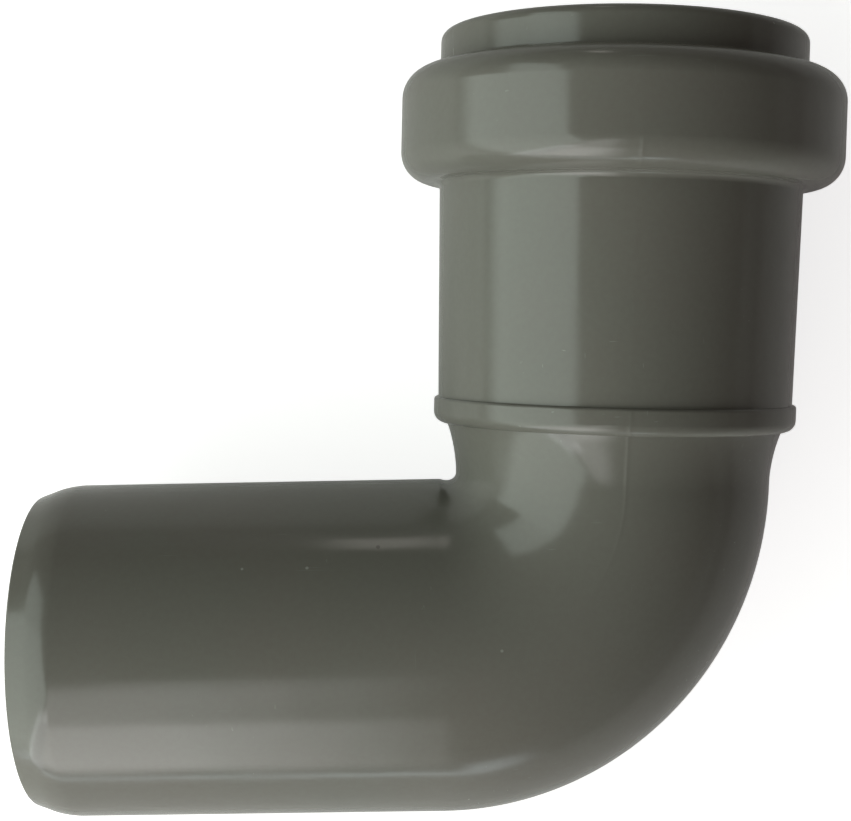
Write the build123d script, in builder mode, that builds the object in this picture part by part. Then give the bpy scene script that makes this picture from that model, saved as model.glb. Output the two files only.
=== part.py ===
from build123d import *
import math
import os

# Push-fit waste elbow, in millimetres. It lies on its spigot and its seal housing, with +Z up:
# the spigot points along -X and the socket's mouth along +Y.

# Pipe that the elbow joins: the spigot has its diameter, and the socket takes it
pipe_diameter = 40.0
pipe_wall = 1.8
turn = 87.5

# Spigot
spigot_length = 48.7
lead_in_length = 3.7
tip_wall = 0.45
tip_rounding = 0.35

# Bend, which narrows from the spigot to the throat under the socket. Its inside is almost a sharp
# corner, and its sections are drawn at the stations, as shares of its length
inner_corner = 0.9
bend_stations = (0, 0.25, 0.5, 0.75, 1)
throat_narrowing = 1.2
throat_length = 6.2
throat_flare = 1.25

# Base ring where the socket starts, over the shoulder that stops the pipe
ring_height = 3.1
ring_stand = 0.5
ring_foot_rounding = 1.3
ring_top_rounding = 0.35
stop_depth = 0.8
stop_rounding = 0.4

# Socket wall, drafted so that the bore is widest at the seal
socket_length = 25.6
bore_clearance = 0.15
bore_draft = 0.2
socket_wall = 1.0
socket_draft = 0.45

# Seal housing
housing_height = 13.4
housing_wall = 1.4
groove_depth = 4.5
housing_rounding = 3.5
housing_foot_rounding = 0.8

# Mouth rim
rim_height = 4.5
mouth_clearance = 0.4
rim_wall = 1.4
rim_foot_rounding = 0.4
rim_edge_rounding = 1.15
mouth_lead_in = 0.2

# Lip seal: the lip's root stays behind the mouth, and its tip is squeezed by the pipe
seal_clearance = 0.1
seal_back = 3.2
lip_cover = 0.6
lip_squeeze = 0.8
lip_drop = 4.1
lip_root_drop = 1.7
lip_thickness = 1.3
lip_slant = 0.5
lip_rounding = 0.4

# Radii, from the pipe outwards
pipe_radius = pipe_diameter / 2
spigot_bore_radius = pipe_radius - pipe_wall
tip_radius = spigot_bore_radius + tip_wall
throat_radius = pipe_radius - throat_narrowing
throat_bore_radius = throat_radius - pipe_wall
bend_radius = pipe_radius + inner_corner
stop_bore_radius = pipe_radius + bore_clearance
seal_bore_radius = stop_bore_radius + bore_draft
socket_foot_radius = stop_bore_radius + socket_wall
socket_head_radius = socket_foot_radius + socket_draft
ring_radius = socket_foot_radius + ring_stand
mouth_radius = pipe_radius + mouth_clearance
rim_radius = mouth_radius + rim_wall
groove_radius = mouth_radius + groove_depth
groove_rounding = housing_rounding - housing_wall
housing_radius = groove_radius + housing_wall
seal_back_radius = groove_radius - seal_clearance
seal_inner_radius = seal_back_radius - seal_back
lip_root_radius = mouth_radius + lip_cover
lip_tip_radius = pipe_radius - lip_squeeze

# Heights along the socket's axis, from the crossing of the two axes
bend_tangent = bend_radius * math.tan(math.radians(turn / 2))
ring_foot = bend_tangent + throat_length
ring_top = ring_foot + ring_height
stop_height = ring_top - stop_depth
housing_foot = ring_top + socket_length
housing_top = housing_foot + housing_height
mouth_height = housing_top + rim_height
groove_foot = housing_foot + housing_wall
groove_top = housing_top - housing_wall
seal_foot = groove_foot + seal_clearance
seal_top = groove_top - seal_clearance
lip_root_height = seal_top - lip_root_drop
lip_tip_height = seal_top - lip_drop
spigot_reach = bend_tangent + spigot_length
flare_foot = (throat_radius, bend_tangent)
flare_top = (throat_radius + throat_flare, ring_foot)

# The spigot lies along the floor, and the elbow leans about it until the lower edge of the seal
# housing, a ring of rounding radius about a circle, touches the floor too
fall = 90 - turn
fall_cosine = math.cos(math.radians(fall))
edge_circle = housing_radius - housing_rounding
edge_height = housing_foot + housing_rounding
edge_reach = math.hypot(edge_height, edge_circle)
rise = math.atan2(edge_circle, edge_height) - math.asin((pipe_radius - housing_rounding) / edge_reach)
lean = math.asin(math.sin(rise) / fall_cosine)

# The origin is under the middle of the elbow's box: from the spigot's end to the side of the
# housing along X, and from the spigot's side to the rim's edge along Y
mouth_cosine = fall_cosine * math.cos(lean)
mouth_sine = math.sqrt(1 - mouth_cosine**2)
housing_side = edge_circle * fall_cosine + housing_rounding
housing_side += (housing_top - housing_rounding) * math.sin(math.radians(fall))
rim_front = (mouth_height - rim_edge_rounding) * mouth_cosine + rim_edge_rounding
rim_front += (rim_radius - rim_edge_rounding) * mouth_sine
crossing = ((spigot_reach - housing_side) / 2, (pipe_radius - rim_front) / 2, pipe_radius)

# One plane holds both axes. Its X is the spigot's axis, or, turned by the fall, its Y the socket's
axes_plane = Plane(crossing, x_dir=(1, 0, 0), z_dir=(0, -math.sin(lean), math.cos(lean)))
across_socket = axes_plane.x_dir.rotate(Axis(crossing, axes_plane.z_dir), -fall)
socket_plane = Plane(crossing, x_dir=across_socket, z_dir=axes_plane.z_dir)
spigot_axis = Axis(axes_plane.origin, axes_plane.x_dir)
socket_axis = Axis(socket_plane.origin, socket_plane.y_dir)

os.makedirs("parts", exist_ok=True)

with BuildLine(axes_plane) as centreline:
    CenterArc((-bend_tangent, bend_radius), bend_radius, -90, turn)
spigot_joint = Plane(centreline.line @ 0, x_dir=axes_plane.z_dir, z_dir=centreline.line % 0)

# Sections round the bend, each with the tube's radius there, which eases from the spigot's to the
# throat's, so that the bend runs smoothly into both
bend_sections = []
for station in bend_stations:
    across = Plane(centreline.line @ station, x_dir=axes_plane.z_dir, z_dir=centreline.line % station)
    bend_sections.append((across, pipe_radius - throat_narrowing * station**2 * (3 - 2 * station)))

with BuildPart() as elbow_body:
    # Throat, base ring, socket, seal housing and rim, turned about the socket's axis
    with BuildSketch(socket_plane):
        with BuildLine():
            Polyline((0, mouth_height), (0, bend_tangent), flare_foot)
            TangentArc(flare_foot, flare_top, tangent=(0, 1))
            FilletPolyline(
                flare_top,
                (ring_radius, ring_foot),
                (ring_radius, ring_top),
                (socket_foot_radius, ring_top),
                (socket_head_radius, housing_foot),
                (housing_radius, housing_foot),
                (housing_radius, housing_top),
                (rim_radius, housing_top),
                (rim_radius, mouth_height),
                (0, mouth_height),
                radius=(
                    ring_foot_rounding,
                    ring_top_rounding,
                    0,
                    housing_foot_rounding,
                    housing_rounding,
                    housing_rounding,
                    rim_foot_rounding,
                    rim_edge_rounding,
                ),
            )
        make_face()
    revolve(axis=socket_axis)

    # Bend, swept along its centreline
    for across, tube_radius in bend_sections:
        with BuildSketch(across):
            Circle(tube_radius)
    sweep(path=centreline.line, multisection=True)

    # Spigot with its lead-in taper, turned about the spigot's axis
    with BuildSketch(axes_plane):
        with BuildLine():
            FilletPolyline(
                (-bend_tangent, 0),
                (-bend_tangent, pipe_radius),
                (lead_in_length - spigot_reach, pipe_radius),
                (-spigot_reach, tip_radius),
                (-spigot_reach, 0),
                radius=(0, 0, tip_rounding),
            )
            Line((-spigot_reach, 0), (-bend_tangent, 0))
        make_face()
    revolve(axis=spigot_axis)

    # Throat bore, pipe stop, socket bore, seal groove and mouth
    with BuildSketch(socket_plane):
        with BuildLine():
            FilletPolyline(
                (0, bend_tangent),
                (throat_bore_radius, bend_tangent),
                (throat_bore_radius, stop_height),
                (stop_bore_radius, stop_height),
                (seal_bore_radius, groove_foot),
                (groove_radius, groove_foot),
                (groove_radius, groove_top),
                (mouth_radius, groove_top),
                (mouth_radius, mouth_height - mouth_lead_in),
                (mouth_radius + mouth_lead_in, mouth_height),
                (0, mouth_height),
                radius=(0, stop_rounding, 0, 0, groove_rounding, groove_rounding, 0, 0, 0),
            )
            Line((0, mouth_height), (0, bend_tangent))
        make_face()
    revolve(axis=socket_axis, mode=Mode.SUBTRACT)

    # Waterway round the bend and out through the spigot
    for across, tube_radius in bend_sections:
        with BuildSketch(across):
            Circle(tube_radius - pipe_wall)
    sweep(path=centreline.line, multisection=True, mode=Mode.SUBTRACT)
    with BuildSketch(spigot_joint):
        Circle(spigot_bore_radius)
    extrude(amount=-spigot_length, mode=Mode.SUBTRACT)
elbow_body.part.label = "elbow_body"
export_step(elbow_body.part, "parts/elbow_body.step")

with BuildPart() as lip_seal:
    # Rubber ring that fills the groove's back, with one lip that leans in towards the pipe stop
    with BuildSketch(socket_plane):
        with BuildLine():
            FilletPolyline(
                (seal_back_radius, seal_foot),
                (seal_back_radius, seal_top),
                (lip_root_radius, seal_top),
                (lip_tip_radius, lip_tip_height),
                (lip_tip_radius + lip_slant, lip_tip_height - lip_thickness),
                (seal_inner_radius, lip_root_height),
                (seal_inner_radius, seal_foot),
                (seal_back_radius, seal_foot),
                radius=(
                    groove_rounding,
                    groove_rounding,
                    lip_rounding,
                    lip_rounding,
                    lip_rounding,
                    lip_rounding,
                    lip_rounding,
                ),
            )
        make_face()
    revolve(axis=socket_axis)
lip_seal.part.label = "lip_seal"
export_step(lip_seal.part, "parts/lip_seal.step")
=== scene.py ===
import math
import bmesh
import bpy
from mathutils import Matrix, Vector


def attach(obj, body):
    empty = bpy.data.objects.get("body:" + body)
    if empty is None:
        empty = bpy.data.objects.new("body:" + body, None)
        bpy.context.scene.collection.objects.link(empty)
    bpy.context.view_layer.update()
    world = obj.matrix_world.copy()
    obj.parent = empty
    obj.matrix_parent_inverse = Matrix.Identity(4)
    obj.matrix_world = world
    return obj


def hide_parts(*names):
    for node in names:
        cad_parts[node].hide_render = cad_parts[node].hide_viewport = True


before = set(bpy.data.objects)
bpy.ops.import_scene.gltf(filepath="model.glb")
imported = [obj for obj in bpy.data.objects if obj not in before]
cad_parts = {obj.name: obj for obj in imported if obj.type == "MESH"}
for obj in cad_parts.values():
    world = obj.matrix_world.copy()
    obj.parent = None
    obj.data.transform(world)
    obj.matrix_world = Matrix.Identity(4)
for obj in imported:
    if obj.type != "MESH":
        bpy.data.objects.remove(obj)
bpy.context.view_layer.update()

# Elbow body: rim, seal housing, socket, base ring, bend and spigot in one injection moulding of
# grey polypropylene. The mould's halves leave a fine ridge along the middle of its front and back.
mm = 0.001
steps_around = 240
turn = math.radians(87.5)
lean = math.radians(6.071986)
crossing = Vector((19.801119, -27.349193, 20.0)) * mm
spigot_radius = 20.0
spigot_bore = 18.2
spigot_length = 48.7
lead_in_length = 3.7
tip_radius = 18.65
throat_radius = 18.8
throat_bore = 17.0
bend_radius = 20.9
bend_steps = 56
bend_tangent = bend_radius * math.tan(turn / 2)
flare_width = 1.25
flare_height = 6.2
flare_knee = (flare_width**2 + flare_height**2) / (2 * flare_height)
ring_foot = bend_tangent + flare_height
ring_top = ring_foot + 3.1
ring_radius = 21.65
pipe_stop = ring_top - 0.8
stop_bore = 20.15
seal_bore = 20.35
socket_foot_radius = 21.15
socket_head_radius = 21.6
housing_foot = ring_top + 25.6
housing_top = housing_foot + 13.4
housing_radius = 26.3
housing_rounding = 3.5
housing_wall = 1.4
groove_foot = housing_foot + housing_wall
groove_top = housing_top - housing_wall
groove_radius = 24.9
groove_rounding = 2.1
mouth = housing_top + 4.5
mouth_radius = 20.4
mouth_lead_in = 0.2
rim_radius = 21.8

# Each corner of the socket's wall section, up the outside, over the rim and down the inside:
# distance from the axis, height along it, rounding, and the steps in that rounding
socket_section = (
    (throat_radius, bend_tangent, 0, 0),
    (throat_radius, bend_tangent + flare_knee, 15.6, 10),
    (throat_radius + flare_width, ring_foot, 0, 0),
    (ring_radius, ring_foot, 1.3, 6),
    (ring_radius, ring_top, 0.35, 4),
    (socket_foot_radius, ring_top, 0.1, 2),
    (socket_head_radius, housing_foot, 0.8, 5),
    (housing_radius, housing_foot, housing_rounding, 12),
    (housing_radius, housing_top, housing_rounding, 12),
    (rim_radius, housing_top, 0.4, 4),
    (rim_radius, mouth, 1.15, 8),
    (mouth_radius + mouth_lead_in, mouth, 0, 0),
    (mouth_radius, mouth - mouth_lead_in, 0, 0),
    (mouth_radius, groove_top, 0, 0),
    (groove_radius, groove_top, groove_rounding, 6),
    (groove_radius, groove_foot, groove_rounding, 6),
    (seal_bore, groove_foot, 0, 0),
    (stop_bore, pipe_stop, 0, 0),
    (throat_bore, pipe_stop, 0.4, 4),
    (throat_bore, bend_tangent, 0, 0),
)


def draw_section(bm, section, closed):
    """Draws a wall section in the XY plane, with each corner rounded to its own radius."""
    corners = [bm.verts.new((x * mm, y * mm, 0)) for x, y, rounding, steps in section]
    for one, two in zip(corners, corners[1:]):
        bm.edges.new((one, two))
    if closed:
        bm.edges.new((corners[-1], corners[0]))
    points = [v.co.copy() for v in corners]
    for i, (x, y, rounding, steps) in enumerate(section):
        if not rounding:
            continue
        before = points[i] - points[i - 1]
        after = points[(i + 1) % len(points)] - points[i]
        tangent = rounding * mm * math.tan(before.angle(after) / 2)
        bmesh.ops.bevel(
            bm, geom=[corners[i]], offset=tangent, offset_type="OFFSET", segments=steps,
            profile=0.5, affect="VERTICES", material=-1, clamp_overlap=True,
        )


body = bmesh.new()
draw_section(body, socket_section, closed=False)
bmesh.ops.spin(
    body, geom=body.verts[:] + body.edges[:], cent=(0, 0, 0), axis=(0, 1, 0),
    angle=2 * math.pi, steps=steps_around, use_merge=True,
)
bmesh.ops.remove_doubles(body, verts=body.verts, dist=1e-7)

# The two open rims at the throat turn round the bend, and ease to the spigot's size on the way
bend_centre = Vector((-bend_radius, bend_tangent, 0)) * mm
open_rims = []
for start, end in ((throat_radius, spigot_radius), (throat_bore, spigot_bore)):
    rim = [
        e for e in body.edges
        if e.is_boundary and abs(math.hypot(e.verts[0].co.x, e.verts[0].co.z) - start * mm) < 1e-5
    ]
    size = start
    for step in range(1, bend_steps + 1):
        turned = bmesh.ops.spin(
            body, geom=rim, cent=bend_centre, axis=(0, 0, 1), angle=-turn / bend_steps, steps=1,
        )["geom_last"]
        rim = [g for g in turned if isinstance(g, bmesh.types.BMEdge)]
        ring = [g for g in turned if isinstance(g, bmesh.types.BMVert)]
        share = step / bend_steps
        wider = (start + (end - start) * share**2 * (3 - 2 * share)) / size
        size *= wider
        middle = sum((v.co for v in ring), Vector()) / len(ring)
        bmesh.ops.scale(body, vec=(wider,) * 3, space=Matrix.Translation(-middle), verts=ring)
    open_rims.append(rim)

fall = math.pi / 2 - turn
out_of_spigot = Vector((-math.cos(fall), -math.sin(fall), 0)) * mm


def draw_out(bm, rim, length, scale):
    """Carries an open rim on along the spigot, to a new size about its own middle."""
    grown = bmesh.ops.extrude_edge_only(bm, edges=rim)["geom"]
    ring = [g for g in grown if isinstance(g, bmesh.types.BMVert)]
    bmesh.ops.translate(bm, vec=out_of_spigot * length, verts=ring)
    middle = sum((v.co for v in ring), Vector()) / len(ring)
    bmesh.ops.scale(bm, vec=(scale,) * 3, space=Matrix.Translation(-middle), verts=ring)
    return [g for g in grown if isinstance(g, bmesh.types.BMEdge)]


lead_in_edge = draw_out(body, open_rims[0], spigot_length - lead_in_length, 1)
tip_edge = draw_out(body, lead_in_edge, lead_in_length, tip_radius / spigot_radius)
bore_edge = draw_out(body, tip_edge, 0, spigot_bore / tip_radius)
draw_out(body, bore_edge, -spigot_length, 1)
bmesh.ops.remove_doubles(body, verts=body.verts, dist=1e-7)
for edge_loop, width, steps in ((lead_in_edge, 1.6, 8), (tip_edge, 0.25, 5)):
    bmesh.ops.bevel(
        body, geom=edge_loop, offset=width * mm, offset_type="OFFSET", segments=steps, profile=0.5,
        affect="EDGES", material=-1,
    )


def from_middle(co):
    """How far a point lies from the surface through the centreline where the mould's halves meet."""
    from_centre = co - bend_centre
    if co.y > bend_centre.y:
        return abs(co.x)
    if math.atan2(from_centre.y, from_centre.x) > -turn:
        return abs(math.hypot(from_centre.x, from_centre.y) - bend_radius * mm)
    return abs(co.x * math.sin(fall) - co.y * math.cos(fall))


# Parting ridge, raised from the middle line of the front and of the back. It is strongest at the
# throat and under the housing, and runs out at the end of the bend
ridge_half_width = 0.13
ridge_on_bend = 0.024
ridge_under_housing = 0.02
ridge_on_walls = 0.008
ridge_top = mouth - 2.0
ridge_end = bend_tangent + 0.001
bmesh.ops.recalc_face_normals(body, faces=body.faces)
middle_line = [
    e for e in body.edges
    if max(from_middle(v.co) for v in e.verts) < 1e-6
    and max(v.co.y for v in e.verts) < ridge_top * mm
    and max(v.co.dot(out_of_spigot) for v in e.verts) < ridge_end * mm * mm
    and min(f.normal.z * e.verts[0].co.z for f in e.link_faces) > 0.2 * abs(e.verts[0].co.z)
]
ridge = bmesh.ops.bevel(
    body, geom=middle_line, offset=ridge_half_width * mm, offset_type="OFFSET", segments=2,
    profile=0.5, affect="EDGES", material=-1,
)
body.normal_update()
crest = [v for v in ridge["verts"] if v.is_valid and from_middle(v.co) < 1e-6]
for v in crest:
    height = ridge_on_walls
    if housing_foot * mm < v.co.y < (housing_foot + housing_rounding) * mm:
        height = ridge_under_housing
    elif v.co.y < bend_centre.y:
        from_centre = v.co - bend_centre
        height = ridge_on_bend * (1 + math.atan2(from_centre.y, from_centre.x) / turn)
    elif v.co.y < ring_top * mm:
        height = ridge_on_bend
    v.co += v.normal * height * mm

place = (
    Matrix.Translation(crossing)
    @ Matrix.Rotation(lean, 4, "X")
    @ Matrix.Rotation(-fall, 4, "Z")
)


def finish_piece(bm, name):
    """Puts a turned piece where it lies, closes its seams and makes it an object with even shading."""
    bmesh.ops.transform(bm, matrix=place, verts=bm.verts)
    bmesh.ops.remove_doubles(bm, verts=bm.verts, dist=1e-7)
    bmesh.ops.recalc_face_normals(bm, faces=bm.faces)
    for face in bm.faces:
        face.smooth = True
    for edge in bm.edges:
        edge.smooth = edge.calc_face_angle(0) < math.radians(30)
    mesh = bpy.data.meshes.new(name)
    bm.to_mesh(mesh)
    bm.free()
    piece = bpy.data.objects.new(name, mesh)
    bpy.context.scene.collection.objects.link(piece)
    shading = piece.modifiers.new("even_shading", "WEIGHTED_NORMAL")
    shading.keep_sharp = True
    return piece


elbow = finish_piece(body, "elbow_moulding")


class Finish:
    """A material under construction: its nodes read the piece's own coordinates, in metres."""

    def __init__(self, name):
        self.material = bpy.data.materials.new(name)
        self.material.use_nodes = True
        self.tree = self.material.node_tree
        self.shader = self.tree.nodes["Principled BSDF"]
        self.where = self.tree.nodes.new("ShaderNodeTexCoord").outputs["Object"]

    def join(self, value, socket):
        """Sets a socket to a number or colour, or links another node's output to it."""
        if isinstance(value, bpy.types.NodeSocket):
            self.tree.links.new(value, socket)
        else:
            socket.default_value = value

    def noise(self, scale, detail=2.0, turned=(0, 0, 0), stretched=(1, 1, 1)):
        """Cloudy pattern from 0 to 1; a larger scale is finer."""
        mapping = self.tree.nodes.new("ShaderNodeMapping")
        mapping.inputs["Rotation"].default_value = turned
        mapping.inputs["Scale"].default_value = stretched
        self.join(self.where, mapping.inputs["Vector"])
        texture = self.tree.nodes.new("ShaderNodeTexNoise")
        texture.inputs["Scale"].default_value = scale
        texture.inputs["Detail"].default_value = detail
        self.join(mapping.outputs["Vector"], texture.inputs["Vector"])
        return texture.outputs["Fac"]

    def cells(self, scale):
        """Scattered points: the distance to the nearest one, and a chance value of its own."""
        texture = self.tree.nodes.new("ShaderNodeTexVoronoi")
        texture.inputs["Scale"].default_value = scale
        self.join(self.where, texture.inputs["Vector"])
        chance = self.tree.nodes.new("ShaderNodeSeparateColor")
        self.join(texture.outputs["Color"], chance.inputs["Color"])
        return texture.outputs["Distance"], chance.outputs["Red"]

    def distance_from(self, spot):
        """Distance from one point of the piece."""
        apart = self.tree.nodes.new("ShaderNodeVectorMath")
        apart.operation = "DISTANCE"
        apart.inputs[1].default_value = spot
        self.join(self.where, apart.inputs[0])
        return apart.outputs["Value"]

    def band(self, value, low, high, at_low=0.0, at_high=1.0):
        """Smooth step of a value from at_low to at_high."""
        step = self.tree.nodes.new("ShaderNodeMapRange")
        step.interpolation_type = "SMOOTHSTEP"
        for name, number in zip(("From Min", "From Max", "To Min", "To Max"), (low, high, at_low, at_high)):
            step.inputs[name].default_value = number
        self.join(value, step.inputs["Value"])
        return step.outputs["Result"]

    def sum(self, operation, one, two):
        """One sum of two values, such as MULTIPLY or ADD."""
        math_node = self.tree.nodes.new("ShaderNodeMath")
        math_node.operation = operation
        self.join(one, math_node.inputs[0])
        self.join(two, math_node.inputs[1])
        return math_node.outputs["Value"]

    def blend(self, share, one, two):
        """Colour between two colours."""
        mix = self.tree.nodes.new("ShaderNodeMix")
        mix.data_type = "RGBA"
        self.join(share, mix.inputs["Factor"])
        self.join(one, mix.inputs[6])
        self.join(two, mix.inputs[7])
        return mix.outputs[2]

    def raise_up(self, height, depth, below=None):
        """Surface relief: a pattern's height, as deep as depth, in metres."""
        bump = self.tree.nodes.new("ShaderNodeBump")
        bump.inputs["Strength"].default_value = 1.0
        bump.inputs["Distance"].default_value = depth
        self.join(height, bump.inputs["Height"])
        if below:
            self.join(below, bump.inputs["Normal"])
        return bump.outputs["Normal"]


plastic = Finish("grey_polypropylene")
grey_green = (0.155, 0.153, 0.131, 1)
grey_brown = (0.160, 0.150, 0.130, 1)
dust_grey = (0.36, 0.37, 0.34, 1)
dirt_brown = (0.05, 0.045, 0.038, 1)
clouds = plastic.band(plastic.noise(38, 3), 0.3, 0.7)
grain = plastic.band(plastic.noise(1500, 2), 0.25, 0.75, 0.0, 0.16)
colour = plastic.blend(clouds, grey_green, grey_brown)
colour = plastic.blend(grain, colour, (0.19, 0.196, 0.166, 1))
handled = plastic.band(plastic.noise(55, 2), 0.5, 0.62)
scratch_one = plastic.band(plastic.noise(1, 1, (0.4, 0.2, 0.9), (60, 2600, 2600)), 0.755, 0.78)
scratch_two = plastic.band(plastic.noise(1, 1, (0.9, 0.5, -0.3), (2400, 70, 2400)), 0.765, 0.79)
scuffs = plastic.sum("MULTIPLY", plastic.sum("MAXIMUM", scratch_one, scratch_two), handled)
colour = plastic.blend(plastic.sum("MULTIPLY", scuffs, 0.18), colour, dust_grey)
distance, chance = plastic.cells(150)
near_a_point = plastic.band(distance, 0.025, 0.04, 1, 0)
chosen = plastic.band(chance, 0.84, 0.86)
dust = plastic.sum("MULTIPLY", near_a_point, chosen)
colour = plastic.blend(plastic.sum("MULTIPLY", dust, 0.45), colour, dust_grey)
for spot, spread, tone, share in (
    ((-7.0, -15.16, 35.86), 0.32, dirt_brown, 0.8),
    ((-22.27, -17.33, 37.31), 0.2, dust_grey, 0.7),
    ((-14.95, -17.34, 37.31), 0.24, dust_grey, 0.7),
    ((6.7, -26.72, 39.95), 0.22, dust_grey, 0.5),
):
    apart = plastic.distance_from(Vector(spot) * mm)
    nearness = plastic.band(apart, 0.5 * spread * mm, spread * mm, share, 0)
    colour = plastic.blend(nearness, colour, tone)
plastic.join(colour, plastic.shader.inputs["Base Color"])
roughness = plastic.band(plastic.noise(120, 3), 0.3, 0.7, 0.13, 0.18)
roughness = plastic.sum("ADD", roughness, plastic.sum("MULTIPLY", scuffs, 0.12))
plastic.join(roughness, plastic.shader.inputs["Roughness"])
plastic.shader.inputs["IOR"].default_value = 1.49
relief = plastic.raise_up(plastic.noise(105, 1), 5e-5)
relief = plastic.raise_up(plastic.noise(900, 2), 2.5e-6, relief)
plastic.join(relief, plastic.shader.inputs["Normal"])
elbow.data.materials.append(plastic.material)
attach(elbow, "root")
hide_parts("elbow_body")

# Lip seal: a ring of black rubber, moulded in one piece and pressed into the groove of the housing.
# Its one lip leans inwards, away from the mouth, and closes on the pipe.
seal_clearance = 0.1
seal_foot = groove_foot + seal_clearance
seal_top = groove_top - seal_clearance
seal_back = groove_radius - seal_clearance
seal_inside = 21.6
lip_root = 21.0
lip_tip = 19.2
lip_rounding = 0.4
seal_section = (
    (seal_back, seal_foot, groove_rounding, 6),
    (seal_back, seal_top, groove_rounding, 6),
    (lip_root, seal_top, lip_rounding, 4),
    (lip_tip, seal_top - 4.1, lip_rounding, 4),
    (lip_tip + 0.5, seal_top - 5.4, lip_rounding, 4),
    (seal_inside, seal_top - 1.7, lip_rounding, 4),
    (seal_inside, seal_foot, lip_rounding, 4),
)
seal = bmesh.new()
draw_section(seal, seal_section, closed=True)
bmesh.ops.spin(
    seal, geom=seal.verts[:] + seal.edges[:], cent=(0, 0, 0), axis=(0, 1, 0),
    angle=2 * math.pi, steps=steps_around, use_merge=True,
)
seal_ring = finish_piece(seal, "seal_ring")
rubber = Finish("seal_rubber")
greased = rubber.band(rubber.noise(160, 2), 0.42, 0.6)
bloom = rubber.sum("MULTIPLY", rubber.band(rubber.noise(420, 3), 0.45, 0.7), 0.5)
black = (0.016, 0.016, 0.017, 1)
bloomed_black = (0.034, 0.033, 0.031, 1)
rubber.join(rubber.blend(bloom, black, bloomed_black), rubber.shader.inputs["Base Color"])
rubber.join(rubber.band(greased, 0, 1, 0.58, 0.36), rubber.shader.inputs["Roughness"])
rubber.join(rubber.raise_up(rubber.noise(1400, 3), 6e-6), rubber.shader.inputs["Normal"])
seal_ring.data.materials.append(rubber.material)
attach(seal_ring, "root")
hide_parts("lip_seal")

# Floor: a wide pale table top, matt, on which the elbow lies. Its edge curves up into a low wall, so
# that the ground stays pale behind the elbow from every side.
floor_radius = 1.5
wall_height = 0.35
cove = 0.2
floor_bm = bmesh.new()
bmesh.ops.create_circle(floor_bm, cap_ends=True, radius=floor_radius, segments=96)
floor_edge = floor_bm.edges[:]
wall = bmesh.ops.extrude_edge_only(floor_bm, edges=floor_edge)["geom"]
wall_top = [g for g in wall if isinstance(g, bmesh.types.BMVert)]
bmesh.ops.translate(floor_bm, vec=(0, 0, wall_height), verts=wall_top)
bmesh.ops.bevel(
    floor_bm, geom=floor_edge, offset=cove, offset_type="OFFSET", segments=10, profile=0.5,
    affect="EDGES", material=-1,
)
for face in floor_bm.faces:
    face.smooth = True
bmesh.ops.recalc_face_normals(floor_bm, faces=floor_bm.faces)
floor_mesh = bpy.data.meshes.new("floor")
floor_bm.to_mesh(floor_mesh)
floor_bm.free()
floor = bpy.data.objects.new("floor", floor_mesh)
bpy.context.scene.collection.objects.link(floor)
paint = Finish("floor_white")
paint.shader.inputs["Base Color"].default_value = (0.72, 0.7, 0.69, 1)
paint.shader.inputs["Roughness"].default_value = 0.9
paint.shader.inputs["Specular IOR Level"].default_value = 0.0
seen_by = paint.tree.nodes.new("ShaderNodeLightPath")
mirrored = paint.sum("MAXIMUM", seen_by.outputs["Is Glossy Ray"], seen_by.outputs["Is Transmission Ray"])
glow_in_view = paint.sum("MULTIPLY", seen_by.outputs["Is Camera Ray"], 0.78)
glow_mirrored = paint.sum("MULTIPLY", mirrored, 0.06)
glow = paint.tree.nodes.new("ShaderNodeEmission")
paint.join(paint.sum("ADD", glow_in_view, glow_mirrored), glow.inputs["Strength"])
lit_and_glowing = paint.tree.nodes.new("ShaderNodeAddShader")
paint.join(paint.shader.outputs["BSDF"], lit_and_glowing.inputs[0])
paint.join(glow.outputs["Emission"], lit_and_glowing.inputs[1])
surface = paint.tree.nodes["Material Output"].inputs["Surface"]
paint.join(lit_and_glowing.outputs["Shader"], surface)
floor_mesh.materials.append(paint.material)


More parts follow.
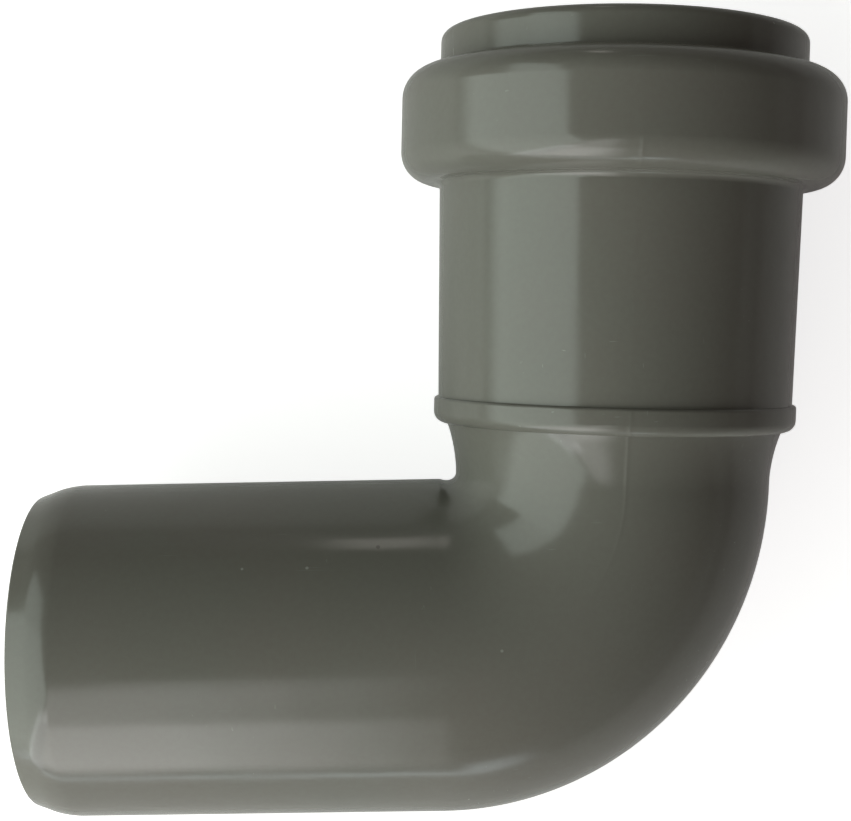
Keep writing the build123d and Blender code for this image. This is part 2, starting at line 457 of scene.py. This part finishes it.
# Light: tall soft windows on the spigot's side and before the bend, each dimming towards its edges,
# a pale strip behind the bend, and two low fills for the back and the right.
def soft_window(name, facing, distance, low_side, high_side, low, high, radiance, colour, fades):
    """Upright lamp at a distance from the elbow, in a direction counted from +X towards +Y.

    The fades are the widths over which it brightens from its low side, high side, foot and top, counted
    as the sides and heights are. An edge with no fade is sharp.
    """
    angle = math.radians(facing)
    away = Vector((math.cos(angle), math.sin(angle), 0))
    along = Vector((-math.sin(angle), math.cos(angle), 0))
    lamp = bpy.data.lights.new(name, "AREA")
    lamp.shape = "RECTANGLE"
    lamp.size = high_side - low_side
    lamp.size_y = high - low
    lamp.energy = radiance * math.pi * lamp.size * lamp.size_y
    lamp.color = colour
    lamp.use_nodes = True
    nodes = lamp.node_tree.nodes
    links = lamp.node_tree.links
    on_pane = nodes.new("ShaderNodeNewGeometry").outputs["Position"]
    level = None
    ways = (along, along, Vector((0, 0, 1)), Vector((0, 0, 1)))
    for way, edge, width in zip(ways, (low_side, high_side, low, high), fades):
        if not width:
            continue
        reach = nodes.new("ShaderNodeVectorMath")
        reach.operation = "DOT_PRODUCT"
        reach.inputs[1].default_value = way
        links.new(on_pane, reach.inputs[0])
        dimming = nodes.new("ShaderNodeMapRange")
        dimming.interpolation_type = "SMOOTHSTEP"
        dimming.inputs["From Min"].default_value = edge
        dimming.inputs["From Max"].default_value = edge + width
        links.new(reach.outputs["Value"], dimming.inputs["Value"])
        if level:
            both = nodes.new("ShaderNodeMath")
            both.operation = "MULTIPLY"
            links.new(level, both.inputs[0])
            links.new(dimming.outputs["Result"], both.inputs[1])
            level = both.outputs["Value"]
        else:
            level = dimming.outputs["Result"]
    if level:
        links.new(level, nodes["Emission"].inputs["Strength"])
    window = bpy.data.objects.new(name, lamp)
    sideways = along * (low_side + high_side) / 2
    window.location = away * distance + sideways + Vector((0, 0, (low + high) / 2))
    window.rotation_mode = "QUATERNION"
    window.rotation_quaternion = (-away).to_track_quat("-Z", "Y")
    bpy.context.scene.collection.objects.link(window)
    return window


left_light = (0.88, 1.0, 0.93)
front_light = (1.0, 1.0, 0.98)
fill_light = (1.0, 0.9, 0.86)
soft_window("left_window", 190, 0.35, -0.2, 0.3, 0.0, 0.7, 2.05, left_light, (0, 0, 0.1, 0))
soft_window("far_window", 190, 0.35, -0.55, -0.2, 0.22, 0.66, 1.65, left_light, (0, 0, 0.06, 0))
soft_window("corner_window", 270, 0.4, -0.36, -0.24, 0.0, 0.55, 3.0, (0.96, 0.98, 1.0), (0, 0, 0.05, -0.15))
soft_window("front_window", 270, 0.4, -0.24, 0.03, 0.02, 0.42, 3.7, front_light, (0, -0.15, 0.07, -0.1))
soft_window("upper_window", 270, 0.4, -0.32, 0.0, 0.34, 1.5, 1.9, front_light, (0.05, -0.15, 0.08, -0.8))
soft_window("low_window", 270, 0.4, -0.4, 0.15, 0.0, 0.07, 2.6, (0.85, 0.97, 1.0), (0.05, -0.1, 0, -0.02))
soft_window("back_strip", 90, 0.5, 0.0, 0.055, 0.12, 0.2, 1.9, (1.0, 0.95, 0.88), (0, -0.01, 0, 0))
for fill in (
    soft_window("back_fill", 90, 0.5, -0.45, 0.45, 0.0, 0.1, 0.22, fill_light, (0, 0, 0, 0)),
    soft_window("right_fill", 0, 0.5, -0.45, 0.45, 0.0, 0.1, 0.32, fill_light, (0, 0, 0, 0)),
):
    fill.visible_glossy = False
world = bpy.data.worlds.new("room")
world.use_nodes = True
world.node_tree.nodes["Background"].inputs["Color"].default_value = (0.05, 0.035, 0.033, 1)
bpy.context.scene.world = world

# Camera: it looks down on the elbow, a little from the mouth's side.
camera_data = bpy.data.cameras.new("camera")
camera_data.sensor_width = 36
camera_data.lens = 70.8166
camera = bpy.data.objects.new("camera", camera_data)
camera.location = (0.0031047, -0.01024422, 0.22570884)
camera.rotation_euler = [math.radians(a) for a in (3.1246774, 1.3989515, -1.0297649)]
camera_data.clip_start = 0.01
bpy.context.scene.collection.objects.link(camera)
bpy.context.scene.camera = camera
bpy.context.scene.view_settings.view_transform = "Standard"
